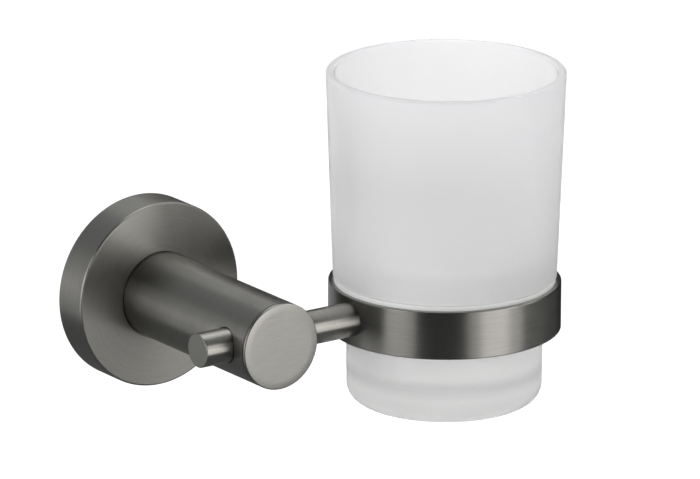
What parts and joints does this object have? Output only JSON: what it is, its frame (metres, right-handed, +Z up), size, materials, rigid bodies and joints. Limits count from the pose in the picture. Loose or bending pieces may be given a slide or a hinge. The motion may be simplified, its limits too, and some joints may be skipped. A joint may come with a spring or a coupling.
{
  "type": "wall-mounted tumbler holder",
  "caption": "Wall-mounted holder in brushed gunmetal: round flange and post, thin cross rod and a lined ring in which a frosted glass tumbler stands and lifts out.",
  "frame": {"origin": "where the post's axis meets the wall, in the plane of the wall plate's back face", "axes": "+Y into the wall, so the holder stands out towards -Y; +X from the post to the ring; +Z up"},
  "size_m": [0.127, 0.0974, 0.0985],
  "materials": {
    "gunmetal_steel": "satin",
    "plain_steel": "satin",
    "black_steel": "satin",
    "liner_plastic": "gloss",
    "frosted_glass": "matte"
  },
  "bodies": {
    "holder": {"wall_plate": "plain_steel", "wall_flange": "gunmetal_steel", "flange_set_screw": "black_steel", "post_tube": "gunmetal_steel", "post_insert": "plain_steel", "post_bolt": "plain_steel", "post_lock_washer": "plain_steel", "locating_pin": "plain_steel", "post_end_cap": "gunmetal_steel", "cross_rod": "gunmetal_steel", "rod_set_screw": "black_steel", "tumbler_ring": "gunmetal_steel", "ring_screw": "plain_steel", "ring_liner": "liner_plastic"},
    "tumbler": {"tumbler": "frosted_glass"}
  },
  "joints": [
    {"name": "tumbler_lift", "type": "slide", "parent": "holder", "child": "tumbler", "axis": [0, 0, 1], "range_m": [0, 0.07]}
  ]
}
